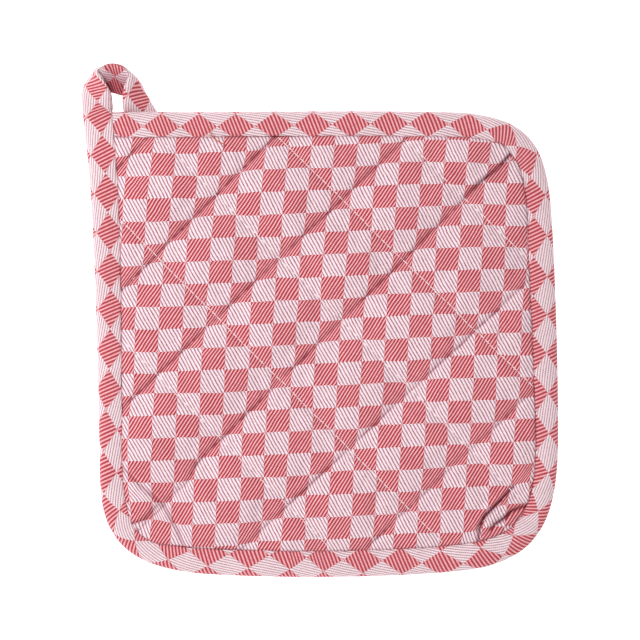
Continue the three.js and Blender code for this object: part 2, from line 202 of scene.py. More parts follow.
# How far beside a rising seam, a falling seam and the binding the sheet is held, and how firmly
# a falling seam holds it.
HELD_RISING, HELD_FALLING, HELD_EDGE, FALLING_HOLD = 1.3, 1.2, 3, 0.8
SHEET_MASS, SHEET_STIFFNESS, SHEET_PRESSURE, SHEET_QUALITY = 0.02, 0.5, 4, 6


def length_property(name, text, default):
    return bpy.props.FloatProperty(
        name=name, description=text, default=default, min=0, subtype="DISTANCE", unit="LENGTH"
    )


def share_property(name, text, default):
    return bpy.props.FloatProperty(
        name=name, description=text, default=default, min=0, max=1, subtype="FACTOR"
    )


def count_property(name, text, default):
    return bpy.props.IntProperty(name=name, description=text, default=default, min=1)


def colour_property(name, text, default):
    return bpy.props.FloatVectorProperty(
        name=name, description=text, default=default, size=3, min=0, max=1, subtype="COLOR"
    )


class PotHolderShape(bpy.types.PropertyGroup):
    crown_height: length_property("Crown", "Height of the pillows' tops", PAD_TOP)
    seam_height: length_property("Seam height", "Height of the face at the binding", 0.0053)
    edge_thickness: length_property("Edge", "Thickness of the bound edge", 0.0066)
    flap: length_property("Flap", "Thickness of one flap of the tape", 0.0011)
    tuck: length_property("Tuck", "How far the face runs on under the tape", 0.0026)
    rising_depth: share_property("Rising seams", "Share of the pillow that they take", 0.72)
    falling_depth: share_property("Falling seams", "Share of the pillow that they take", 0.36)
    start_share: share_property("Start", "Share of the pillows' height before they swell", 0.87)
    spare_cloth: share_property("Spare cloth", "Cloth that the swelling face takes up", 0.02)
    swell_limit: length_property("Swell limit", "How far the cloth may swell or sink", 0.0009)
    stitch: length_property("Stitch", "Length of one stitch", 0.0029)
    stitch_gap: length_property("Stitch gap", "Space between two stitches", 0.0004)
    sewing_thread: length_property("Thread", "Thickness of the sewing thread", 0.00042)
    loose_width: length_property("Loose thread", "Thickness of the loose thread", 0.00042)


class PotHolderCloth(bpy.types.PropertyGroup):
    block_width: length_property("Block width", "Width of one woven check", 0.0102)
    block_height: length_property("Block height", "Height of one woven check", 0.00985)
    warp_ends: count_property("Warp", "Warp threads a block", 26)
    weft_picks: count_property("Weft", "Weft threads a block", 15)
    tape_ends: count_property("Tape warp", "Warp threads a block of the stretched tape", 26)
    tape_picks: count_property("Tape weft", "Weft threads a block of the stretched tape", 15)
    red_yarn: colour_property("Red yarn", "Lines of a red block", (0.4, 0.02, 0.034))
    pink_yarn: colour_property("Pink", "Pale lines of a red block", (0.97, 0.51, 0.55))
    white_yarn: colour_property("White yarn", "Lines of a white block", (0.94, 0.75, 0.79))
    shaded_yarn: colour_property("Thin red", "Red lines of a white block", (0.33, 0.1, 0.16))
    tape_red: colour_property("Tape red", "Lines of a red diamond", (0.42, 0.042, 0.056))
    tape_pink: colour_property("Tape pink", "Pale lines of a red diamond", (0.95, 0.46, 0.5))
    tape_white: colour_property("Tape white", "Lines of a white diamond", (0.89, 0.71, 0.74))
    tape_shaded: colour_property("Tape thin red", "Red lines of a white diamond", (0.43, 0.23, 0.28))
    # Painted shade: the colour that the cloth is darkened towards in creases, tucks, the gap beside the
    # binding and inside the loop.
    painted_shade_colour: colour_property("Hollow", "Tint deep in the creases", (0.38, 0.1, 0.16))
    thread: colour_property("Sewing thread", "Colour of the stitches", (0.97, 0.86, 0.88))
    loose_thread: colour_property("Loose thread", "Colour of the loose end", (0.6, 0.1, 0.03))


class PotHolderStage(bpy.types.PropertyGroup):
    lens: bpy.props.FloatProperty(name="Lens", description="Focal length", default=100, min=20)
    frame_width: length_property("Frame", "Width of the picture at the face", 0.280)
    key: bpy.props.FloatProperty(
        name="Key", description="Power of the soft light", default=6.5, subtype="POWER", unit="POWER"
    )
    fill: bpy.props.FloatProperty(name="Fill", description="Light from all round", default=0.72)
    floor: colour_property("Floor", "Colour of the floor", (0.92, 0.92, 0.92))


def smooth(t):
    """Eases from 0 to 1: three t squared less two t cubed."""
    t = np.clip(t, 0, 1)
    return t * t * (3 - 2 * t)


def mix(a, b, t):
    """The straight blend of two values: the first at 0 and the second at 1."""
    return a + (b - a) * t


def noise(x, y, cell, seed):
    """Smooth noise from -1 to 1: random values on a square grid, eased between its corners."""
    values = np.random.default_rng(seed).uniform(-1, 1, (64, 64))
    gx, gy = np.asarray(x) / cell, np.asarray(y) / cell
    i, j = np.floor(gx).astype(int), np.floor(gy).astype(int)
    u, v = smooth(gx - i), smooth(gy - j)
    at = lambda a, b: values[(i + a) % 64, (j + b) % 64]
    return mix(mix(at(0, 0), at(1, 0), u), mix(at(0, 1), at(1, 1), u), v)


def unit(vectors):
    """The same vectors, each with a length of 1."""
    return vectors / np.linalg.norm(vectors, axis=-1, keepdims=True)


def seam_axes(x, y):
    """Places down to the right and up to the right, which the two sets of seams run across."""
    return (x - y) / ROOT2, (x + y) / ROOT2


def spline(rows, t):
    """Points on a smooth curve through the rows, t counting rows: a cubic with each row's slope
    set by its neighbours."""
    rows = np.asarray(rows, float)
    padded = np.concatenate([2 * rows[:1] - rows[1:2], rows, 2 * rows[-1:] - rows[-2:-1]])
    i = np.clip(np.floor(t).astype(int), 0, len(rows) - 2)
    f = (t - i)[:, None]
    a, b, c, d = (padded[i + k] for k in range(4))
    return b + 0.5 * f * (c - a + f * (2 * a - 5 * b + 4 * c - d + f * (3 * (b - c) + d - a)))


def edge_line(count):
    """Stations evenly along the edge: each curve as its cubic, then re-spaced by arc length.
    Returns the share of the way, the points, the outward directions and the tape's width."""
    t = np.linspace(0, 1, CURVE_STEPS)[:, None]
    start, parts = np.array(EDGE_START, float), []
    for _, leaving, arriving, end in EDGE_CURVES:
        a, b, c = (np.array(point, float) for point in (leaving, arriving, end))
        parts.append(
            (1 - t) ** 3 * start + 3 * (1 - t) ** 2 * t * a + 3 * (1 - t) * t**2 * b + t**3 * c
        )
        start = c
    line = np.concatenate(parts)
    along = np.concatenate([[0], np.cumsum(np.hypot(*np.diff(line, axis=0).T))])
    share = np.linspace(0, 1, count)
    points = np.stack([np.interp(share * along[-1], along, line[:, k]) for k in (0, 1)], 1)
    tangent = unit(np.gradient(points, axis=0))
    outward = np.stack([-tangent[:, 1], tangent[:, 0]], 1)
    width = np.interp(share, *np.array(BINDING_WIDTHS).T)
    return share, points, outward, width


def nearest_seam(seams, across, along):
    """Distance to the nearest seam of one set, that seam's number and its pull. The seam strays
    a little from its line by noise."""
    away = np.stack([np.abs(across - seam_line(seam, along)) for seam in seams])
    number = away.argmin(0)
    return away.min(0), number, np.array([seam[3] for seam in seams])[number]


def seam_path(seam, along):
    """Where a seam runs across its set: its place, its lean and the bend at its end."""
    at, lean, _, _, bend = seam
    return at + lean * along + bend * smooth((BEND_START - along) / BEND_LENGTH)


def seam_line(seam, along):
    """A seam's path with a little noise."""
    at = seam[0]
    return seam_path(seam, along) + 0.3 * noise(along, at, 9, 71) + 0.12 * noise(along, at, 3, 72)


def seam_profile(seams, across, along, crease, seed):
    """How much of a set's depth is left at a distance from its seams: a fine crease, a groove and
    a swell, each a bell curve. The crease is drawn tighter in some stretches, by noise."""
    distance, number, pull = nearest_seam(seams, across, along)
    row = number * 5.5
    tight = 1 + 0.5 * noise(along, row, 16, seed) + 0.6 * noise(along, row, 3, seed + 1)
    bell = lambda half: np.exp(-((distance / half) ** 2))
    beside = sum(share * bell(half) for half, share in SEAM_BELLS)
    return pull * (CREASE_SHARE * tight * bell(crease) + beside)


def seam_wrinkles(distance, along, seed):
    """Small folds across a seam: noise stretched away from the seam, fading with distance."""
    fade = np.exp(-((distance / 6.5) ** 2)) * (1 - np.exp(-((distance / 0.9) ** 2)))
    fine = noise(along, distance * 0.35, 3.1, seed) + 0.6 * noise(along, distance * 0.3, 1.7, seed + 1)
    return fade * fine


def line_distance(x, y, line):
    """Distance to an open line of points: the least over its stretches, with the share of the
    way along it."""
    ends = np.array(line, float)
    least, share = np.full(np.shape(x), np.inf), np.zeros(np.shape(x))
    for k, (start, end) in enumerate(zip(ends, ends[1:])):
        run = end - start
        t = np.clip(((x - start[0]) * run[0] + (y - start[1]) * run[1]) / (run @ run), 0, 1)
        away = np.hypot(x - start[0] - t * run[0], y - start[1] - t * run[1])
        share = np.where(away < least, (k + t) / (len(ends) - 1), share)
        least = np.minimum(least, away)
    return least, share


def tuck_depth(x, y):
    """Depth of the tucks: for each, a bell curve of the distance to its line, less a wider and
    lower one for its lips, fading at both ends as a half sine's root."""
    depth = np.zeros_like(x)
    for line, deep, half in TUCKS:
        away, share = line_distance(x, y, line)
        fade = np.sqrt(np.sin(math.pi * np.clip(share, 0.02, 0.98)))
        lips = 0.42 * np.exp(-(((away - 2.6 * half) / (1.3 * half)) ** 2))
        depth += deep * fade * (np.exp(-((away / half) ** 2)) - lips)
    return depth


def crumple(x, y):
    """How crumpled the cloth is, from 0 to 1: a bell curve of the distance to the caught place."""
    away = np.hypot(x - CRUMPLE["x"], y - CRUMPLE["y"])
    return np.exp(-((away / CRUMPLE["reach"]) ** 2))


def swelling(x, y):
    """How far the simulated cloth has risen at each point: a cubic B-spline through the values of
    the square sheet, or nothing before the sheet is made."""
    sheet = bpy.data.meshes.get(SHEET)
    if sheet is None:
        return np.zeros_like(x)
    values = np.empty(len(sheet.vertices), np.float32)
    sheet.attributes["swell"].data.foreach_get("value", values)
    values = values.reshape(SHEET_CELLS + 1, SHEET_CELLS + 1)
    column = np.clip((x + SHEET_SIDE) / (2 * SHEET_SIDE) * SHEET_CELLS, 1, SHEET_CELLS - 1.001)
    row = np.clip((y + SHEET_SIDE) / (2 * SHEET_SIDE) * SHEET_CELLS, 1, SHEET_CELLS - 1.001)
    i, j = np.floor(row).astype(int), np.floor(column).astype(int)

    def weights(f):
        return (1 - f) ** 3, 3 * f**3 - 6 * f**2 + 4, 3 * (f + f**2 - f**3) + 1, f**3

    total = np.zeros_like(x)
    for a, row_weight in enumerate(weights(row - i)):
        for b, column_weight in enumerate(weights(column - j)):
            total += row_weight * column_weight / 36 * values[i + a - 1, j + b - 1]
    return total


def face_height(x, y, from_edge, shape):
    """Height of the quilted face: the crown, less the two sets of seams, less tucks and small
    folds, plus the simulated swelling, rising from the binding as one less an exponential of the
    distance to it."""
    down_right, up_right = seam_axes(x, y)
    rising = nearest_seam(RISING_SEAMS, down_right, up_right)[0]
    falling = nearest_seam(FALLING_SEAMS, up_right, down_right)[0]
    seam, crown = shape.seam_height / MM, shape.crown_height / MM
    creases = seam_profile(RISING_SEAMS, down_right, up_right, FACE_CREASES[0], 51)
    fine_creases = seam_profile(FALLING_SEAMS, up_right, down_right, FACE_CREASES[1], 53)
    pillow = (1 - shape.rising_depth * creases) * (1 - shape.falling_depth * fine_creases)
    folds = 0.3 * seam_wrinkles(rising, up_right, SEED) + 0.16 * seam_wrinkles(falling, down_right, 31)
    folds += 0.18 * noise(x, y, 9, SEED + 3) + 0.07 * noise(x, y, 3.4, SEED + 4)
    folds += crumple(x, y) * (0.35 * noise(x, y, 3.2, 91) + 0.15 * noise(x, y, 1.5, 92))
    rise = 1 - np.exp(-from_edge / 3.6)
    full = (crown - seam) * shape.start_share * pillow + swelling(x, y)
    top = seam + rise * (full - tuck_depth(x, y) + folds)
    flap_room = shape.edge_thickness / MM - 2.4
    return mix(flap_room, top, smooth((from_edge - shape.tuck / MM + 0.9) / 1.3))


def back_height(x, y, from_edge):
    """Height of the back: grooves at the seams, pressed flat between them, and lifted at the
    binding to run on over its lower flap."""
    down_right, up_right = seam_axes(x, y)
    creases = seam_profile(RISING_SEAMS, down_right, up_right, BACK_CREASES[0], 55)
    fine_creases = seam_profile(FALLING_SEAMS, up_right, down_right, BACK_CREASES[1], 57)
    groove = 1.6 * np.maximum(creases, 0.9 * fine_creases)
    low = np.maximum(0, groove - 0.35 + 0.05 * noise(x, y, 3, SEED + 8))
    return mix(1.5, low, smooth((from_edge - 2.2) / 2))


def face_painted_shade(x, y, from_edge, shape):
    """How much painted shade each point of the face gets, from 0 to 1: painted shade in the creases
    of the rising seams and the tucks as bell curves of the distance to them, and a painted shadow
    beside the binding as an exponential of the distance to it."""
    down_right, up_right = seam_axes(x, y)
    rising, number, pull = nearest_seam(RISING_SEAMS, down_right, up_right)
    # Painted shade along the rising seams' creases, broken into specks by noise.
    tight = pull * (0.6 + 0.5 * noise(up_right, number * 5.5, 16, 51))
    shade_speckle = 1 + 0.8 * noise(up_right, down_right, 1.6, 58)
    painted_shade = tight * shade_speckle * np.exp(-((rising / 0.42) ** 2))
    for line, deep, half in TUCKS:
        away, _ = line_distance(x, y, line)
        painted_shade += deep / 2.2 * np.exp(-((away / (0.7 * half)) ** 2))
    # Painted shadow in the gap beside the binding, made lighter towards the right, where the light falls
    # into the gap.
    beside_tape = np.maximum(0, from_edge - shape.tuck / MM)
    gap = 0.7 - 0.5 * smooth((x - 60) / 25)
    return np.clip(painted_shade + gap * np.exp(-beside_tape / 0.3), 0, 1)


def lifted(points):
    """Raises what lies over the tape's end: a smooth step of the distance to its rectangle, with
    the thickness squeezed there."""
    away = np.hypot(
        np.maximum(0, np.abs(points[..., 0] - LIFT["x"]) - LIFT["half_x"]),
        np.maximum(0, np.abs(points[..., 1] - LIFT["y"]) - LIFT["half_y"]),
    )
    rise = LIFT["rise"] * smooth(1 - away / LIFT["reach"])
    raised = points.copy()
    raised[..., 2] = rise + points[..., 2] * (1 - LIFT["squeeze"] * rise / LIFT["over"])
    return raised


def border_distance(x, y, border):
    """Distance from each point to the closed border: the least over its segments."""
    ends = np.roll(border, -1, axis=0)
    run = ends - border
    length2 = np.maximum((run**2).sum(1), 1e-9)
    flat = np.stack([x.ravel(), y.ravel()], 1)
    least = np.full(len(flat), np.inf)
    for part in range(0, len(border), 64):
        a, r, l2 = border[part : part + 64], run[part : part + 64], length2[part : part + 64]
        to = flat[:, None] - a[None]
        t = np.clip((to * r[None]).sum(2) / l2, 0, 1)
        away = np.linalg.norm(to - t[..., None] * r[None], axis=2).min(1)
        least = np.minimum(least, away)
    return least.reshape(x.shape)


def on_face(points, border, shape):
    """Points of the plan set on the quilted face."""
    x, y = points.T
    return lifted(np.column_stack([x, y, face_height(x, y, border_distance(x, y, border), shape)]))


def on_back(points, border, shape):
    """Points of the plan set on the back."""
    x, y = points.T
    return lifted(np.column_stack([x, y, back_height(x, y, border_distance(x, y, border))]))


def respaced(line, count):
    """The same open line with its points evenly along it."""
    along = np.concatenate([[0], np.cumsum(np.hypot(*np.diff(line, axis=0).T))])
    wanted = np.linspace(0, along[-1], count)
    return np.stack([np.interp(wanted, along, line[:, k]) for k in (0, 1)], 1)


def square_patch(sides, cells):
    """A grid inside four sides: the blend of each pair of sides, less the blend of the corners.
    The sides run clockwise from the top left."""
    top, right, bottom, left = (respaced(side, cells + 1) for side in sides)
    bottom, left = bottom[::-1], left[::-1]
    u = np.linspace(0, 1, cells + 1)[None, :, None]
    v = np.linspace(0, 1, cells + 1)[:, None, None]
    ruled = mix(top[None], bottom[None], v) + mix(left[:, None], right[:, None], u)
    return ruled - mix(mix(top[0], top[-1], u), mix(bottom[0], bottom[-1], u), v)


def cloth_place(x, y, cloth):
    """Which block of the check lies at a point of the face. Each seam takes up cloth, so the
    cloth steps across it by a smooth step. It also drifts by noise, by a cubic of the place in
    100 mm, whose factors were fitted to the photo and rounded, and by pulls at the corners. Then
    it is turned, sheared and divided by the block."""
    down_right, up_right = seam_axes(x, y)

    def taken(seams, across, along):
        total = -sum(seam[2] for seam in seams[:SEAMS_BEFORE_CENTRE])
        for seam in seams:
            past = (across - seam_path(seam, along)) / TAKE_UP_HALF
            total = total + seam[2] * 0.5 * (1 + np.tanh(past))
        return total

    d = taken(RISING_SEAMS, down_right, up_right)
    u = taken(FALLING_SEAMS, up_right, down_right)
    stray_x = 0.2 * noise(x, y, 9, 61) + 0.13 * noise(x, y, 3.1, 62)
    stray_y = 0.2 * noise(x, y, 9, 63) + 0.13 * noise(x, y, 3.1, 64)
    a, b = x / 100, y / 100
    stray_x += a + 0.8 * a**2 - 1.6 * b**2 - 0.6 * a**3 + a**2 * b + 0.7 * a * b**2 - 1.15 * b**3
    stray_y += -0.7 * a + 1.2 * b + 0.5 * a * b - 0.25 * b**2 + 1.5 * a**3 + 0.7 * a * b**2 - 0.6 * b**3
    for corner_x, corner_y, reach, shift_x, shift_y in PULLED_CORNERS:
        pulled = np.exp(-((x - corner_x) ** 2 + (y - corner_y) ** 2) / reach**2)
        stray_x -= shift_x * pulled
        stray_y -= shift_y * pulled
    stray_x += 0.7 * crumple(x, y) * noise(x, y, 4.5, 93)
    stray_y += 0.7 * crumple(x, y) * noise(x, y, 4.5, 94)
    cx, cy = x + (d + u) / ROOT2 + stray_x, y + (u - d) / ROOT2 + stray_y
    width, height = cloth.block_width / MM, cloth.block_height / MM
    across = (math.cos(CHECK_TURN) * cx + (math.sin(CHECK_TURN) + CHECK_SHEAR) * cy) / width
    up = (-math.sin(CHECK_TURN) * cx + math.cos(CHECK_TURN) * cy) / height
    return across + CHECK_START[0], up + CHECK_START[1]


def grid_faces(rows, columns, closed_columns=False):
    """Quads of a grid numbered row by row."""
    i = np.arange(rows - 1)[:, None]
    j = np.arange(columns if closed_columns else columns - 1)[None]
    k = (j + 1) % columns
    quads = [i * columns + j, i * columns + k, (i + 1) * columns + k, (i + 1) * columns + j]
    return np.stack(np.broadcast_arrays(*quads), -1).reshape(-1, 4)


def new_piece(name, points, faces, places, material, painted_shade=None):
    """A smooth-shaded object from points in millimetres, faces, a cloth place per point, its slot
    and material, and how much painted shade each point gets."""
    mesh = bpy.data.meshes.new(name)
    mesh.from_pydata((np.asarray(points) * MM).tolist(), [], [tuple(map(int, f)) for f in faces])
    corner_points = np.empty(len(mesh.loops), np.int32)
    mesh.loops.foreach_get("vertex_index", corner_points)
    layer = mesh.uv_layers.new(name="cloth")
    layer.data.foreach_set("uv", np.asarray(places, np.float32)[corner_points].ravel())
    # The painted shade is kept on the mesh for the material to darken the colour by.
    if painted_shade is not None:
        deep = mesh.attributes.new("painted_shade", "FLOAT", "POINT")
        deep.data.foreach_set("value", np.asarray(painted_shade, np.float32).ravel())
    mesh.polygons.foreach_set("use_smooth", np.ones(len(mesh.polygons), bool))
    mesh.materials.append(material)
    mesh.validate()
    mesh.update()
    piece = bpy.data.objects.new(name, mesh)
    bpy.context.scene.collection.objects.link(piece)
    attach(piece, "root")
    return piece


class Wire:
    """A shader value that adds Math nodes when it is used in a Python expression."""

    def __init__(self, graph, socket):
        self.graph, self.socket = graph, socket

    def math(self, operation, *others):
        return self.graph.node(
            "ShaderNodeMath", {"operation": operation}, dict(enumerate((self, *others)))
        )

    def __add__(self, other):
        return self.math("ADD", other)

    __radd__ = __add__

    def __sub__(self, other):
        return self.math("SUBTRACT", other)

    def __rsub__(self, other):
        return self.graph.node("ShaderNodeMath", {"operation": "SUBTRACT"}, {0: other, 1: self})

    def __mul__(self, other):
        return self.math("MULTIPLY", other)

    __rmul__ = __mul__

    def floor(self):
        return self.math("FLOOR")

    def fraction(self):
        return self.math("FRACT")

    def size(self):
        return self.math("ABSOLUTE")

    def clamped(self):
        return self.math("MAXIMUM", 0).math("MINIMUM", 1)


class Graph:
    """A material's nodes, with one method that adds any of them."""

    def __init__(self, name):
        self.material = bpy.data.materials.new(name)
        self.material.use_nodes = True
        self.tree = self.material.node_tree
        self.tree.nodes.clear()

    def node(self, kind, settings=None, sockets=None, output=0):
        node = self.tree.nodes.new(kind)
        for name, value in (settings or {}).items():
            setattr(node, name, value)
        for name, value in (sockets or {}).items():
            if isinstance(value, Wire):
                self.tree.links.new(value.socket, node.inputs[name])
            else:
                node.inputs[name].default_value = value
        return Wire(self, node.outputs[output])

    def blend(self, factor, first, second, kind="MIX"):
        """Mixes two colours. The Mix node's colour sockets are numbers 6 and 7, and output 2."""
        settings = {"data_type": "RGBA", "blend_type": kind}
        return self.node("ShaderNodeMix", settings, {0: factor, 6: first, 7: second}, output=2)

    def finish(self, shader):
        output = self.tree.nodes.new("ShaderNodeOutputMaterial")
        self.tree.links.new(shader.socket, output.inputs["Surface"])
        return self.material


def opaque(colour):
    return (*colour, 1)


def twill_cloth(name, warp_ends, weft_picks, red_line, pink_line, white_line, thin_line, painted_shade_tint):
    """Red and white check in twill. A thread grid is the cloth place times the threads a block;
    a float line is a saw of the warp number less or plus the weft number, over four, worn thin
    in flecks. Each weft is a step half eased, and the shade dips between two of them."""
    graph = Graph(name)
    place = graph.node("ShaderNodeUVMap", {"uv_map": "cloth"})
    split = lambda axis: graph.node("ShaderNodeSeparateXYZ", None, {0: place}, output=axis)
    texture = graph.node("ShaderNodeTexCoord", output=3)

    def cloud(scale, detail):
        sockets = {"Vector": texture, "Scale": scale, "Detail": detail}
        return graph.node("ShaderNodeTexNoise", None, sockets)

    wobble, fleck, fibre, patch = cloud(420, 2), cloud(800, 2), cloud(1500, 3), cloud(60, 3)
    across, up = split(0), split(1)
    red_block = 1 - ((across.floor() + up.floor()) * 0.5).fraction() * 2
    warp = across * warp_ends + (wobble - 0.5) * 0.6
    weft = up * weft_picks + (wobble - 0.5) * 0.5
    pick = (weft.floor() + weft) * 0.5
    saw_red = ((warp - pick) * 0.25).fraction()
    saw_white = ((warp + pick) * 0.25).fraction()

    def line(saw, width):
        full = (((saw - 0.5).size() * 2 - (1 - width)) * 3.2 + 0.5).clamped()
        return full * (1.3 - fleck * 0.8).clamped()

    line_red, line_white = line(saw_red, 0.43), line(saw_white, 0.38)
    red = graph.blend(line_red, opaque(red_line), opaque(pink_line))
    white = graph.blend(line_white, opaque(white_line), opaque(thin_line))
    woven = graph.blend(red_block, white, red)
    between_wefts = (weft.fraction() - 0.5).size() * 2
    shade = 1.03 + (fibre - 0.5) * 0.3 + (patch - 0.5) * 0.14 - between_wefts * between_wefts * 0.22
    grey = graph.node("ShaderNodeCombineColor", None, {0: shade, 1: shade, 2: shade})
    shaded = graph.blend(1.0, woven, grey, "MULTIPLY")
    # Painted shade: the colour is multiplied towards the painted shade tint in creases, tucks, the gap
    # beside the binding and inside the loop.
    painted_shade = graph.node("ShaderNodeAttribute", {"attribute_name": "painted_shade"}, output=2)
    colour = graph.blend(painted_shade.clamped(), shaded, opaque(painted_shade_tint), "MULTIPLY")
    raised = red_block * (1 - line_red) + (1 - red_block) * (1 - line_white)
    height = raised * 0.7 + (1 - between_wefts) * red_block * 0.3 + fibre * 0.35
    bump = graph.node("ShaderNodeBump", None, {"Strength": 0.5, "Distance": 0.0003, "Height": height})
    shader = graph.node(
        "ShaderNodeBsdfPrincipled",
        None,
        {
            "Base Color": colour,
            "Roughness": 0.88,
            "Sheen Weight": 0.12,
            "Sheen Roughness": 0.6,
            "Specular IOR Level": 0.25,
            "Normal": bump,
        },
    )
    return graph.finish(shader)


def yarn(name, colour):
    """Twisted sewing thread: a fine wave across the piece's own length as bump."""
    graph = Graph(name)
    texture = graph.node("ShaderNodeTexCoord", output=3)
    fibre = graph.node("ShaderNodeTexNoise", None, {"Vector": texture, "Scale": 2500.0})
    tint = graph.blend(fibre * 0.4, opaque(colour), opaque([c * 0.6 for c in colour]))
    bump = graph.node("ShaderNodeBump", None, {"Strength": 0.4, "Distance": 0.0001, "Height": fibre})
    shader = graph.node(
        "ShaderNodeBsdfPrincipled", None, {"Base Color": tint, "Roughness": 0.75, "Normal": bump}
    )
    return graph.finish(shader)


class POTHOLDER_OT_swell(bpy.types.Operator):
    """Swell the face's cloth between its seams by a cloth simulation"""

    bl_idname = "potholder.swell_face"
    bl_label = "Swell the face"

    def execute(self, context):
        """A square sheet in the shape of the face is held at the seams and outside the binding,
        given a little spare cloth and pressed up from inside for some frames. How far each of
        its points has risen, limited by a hyperbolic tangent, is kept on the sheet's mesh."""
        scene, shape = context.scene, context.scene.pot_holder_shape
        border = pad_outline(shape)
        line = np.linspace(-SHEET_SIDE, SHEET_SIDE, SHEET_CELLS + 1)
        x, y = np.meshgrid(line, line)
        inside = inside_border(np.stack([x.ravel(), y.ravel()], 1), border).reshape(x.shape)
        from_edge = border_distance(x, y, border) * inside
        height = face_height(x, y, from_edge, shape)
        down_right, up_right = seam_axes(x, y)
        rising = nearest_seam(RISING_SEAMS, down_right, up_right)[0]
        falling = nearest_seam(FALLING_SEAMS, up_right, down_right)[0]
        held_falling = FALLING_HOLD * np.exp(-((falling / HELD_FALLING) ** 4))
        held = np.maximum(np.exp(-((rising / HELD_RISING) ** 4)), held_falling)
        held = np.where(from_edge < HELD_EDGE, 1, held).ravel()

        sheet = bpy.data.meshes.new(SHEET + " at work")
        points = np.stack([x, y, height], -1).reshape(-1, 3)
        sheet.from_pydata((points * MM).tolist(), [], grid_faces(*x.shape).tolist())
        cloth = bpy.data.objects.new("sheet", sheet)
        scene.collection.objects.link(cloth)
        group = cloth.vertex_groups.new(name="held")
        for tenth in range(1, 11):
            group.add(np.flatnonzero(np.round(held * 10) == tenth).tolist(), tenth / 10, "REPLACE")
        simulation = cloth.modifiers.new("swelling", "CLOTH")
        settings = simulation.settings
        settings.quality, settings.mass = SHEET_QUALITY, SHEET_MASS
        settings.bending_stiffness = SHEET_STIFFNESS
        settings.use_pressure, settings.uniform_pressure_force = True, SHEET_PRESSURE
        settings.vertex_group_mass = group.name
        settings.shrink_min = -shape.spare_cloth
        settings.effector_weights.gravity = 0
        for frame_number in range(SHEET_FRAMES):
            scene.frame_set(frame_number + 1)
        swollen = cloth.evaluated_get(context.evaluated_depsgraph_get()).data
        after = np.empty(len(points) * 3, np.float32)
        swollen.vertices.foreach_get("co", after)
        scene.frame_set(1)
        bpy.data.objects.remove(cloth)
        risen = after.reshape(-1, 3)[:, 2] / MM - points[:, 2]
        limit = shape.swell_limit / MM
        kept = sheet.attributes.new("swell", "FLOAT", "POINT")
        kept_rise = limit * np.tanh(risen / limit) * inside.ravel()
        kept.data.foreach_set("value", kept_rise.astype(np.float32))
        sheet.name = SHEET
        return {"FINISHED"}


def pad_outline(shape):
    """The face's border under the tape: the binding's inner edge, moved out by the tuck, cut
    where the loop's foot crosses it and closed at the top left corner."""
    share, points, outward, width = edge_line(BORDER_ROWS)
    line = points - outward * (width - shape.tuck / MM)[:, None]
    keep = (share < 0.5) | (line[:, 1] < line[0, 1] - 0.5)
    line = line[keep]
    corner = np.array([[line[-1, 0], line[0, 1]]])
    return np.concatenate([corner, line])


def pad_sides(border):
    """The border as four open lines, cut where it reaches furthest towards each corner."""
    cuts = [0] + [int((border @ np.array(way)).argmax()) for way in ((1, 1), (1, -1), (-1, -1))]
    closed = np.concatenate([border, border[:1]])
    cuts.append(len(border))
    return [closed[a : b + 1] for a, b in zip(cuts, cuts[1:])]


def ring_of(grid_number):
    """The numbers round a square grid's rim, clockwise from its first corner."""
    return np.concatenate(
        [grid_number[0, :-1], grid_number[:-1, -1], grid_number[-1, :0:-1], grid_number[:0:-1, 0]]
    )


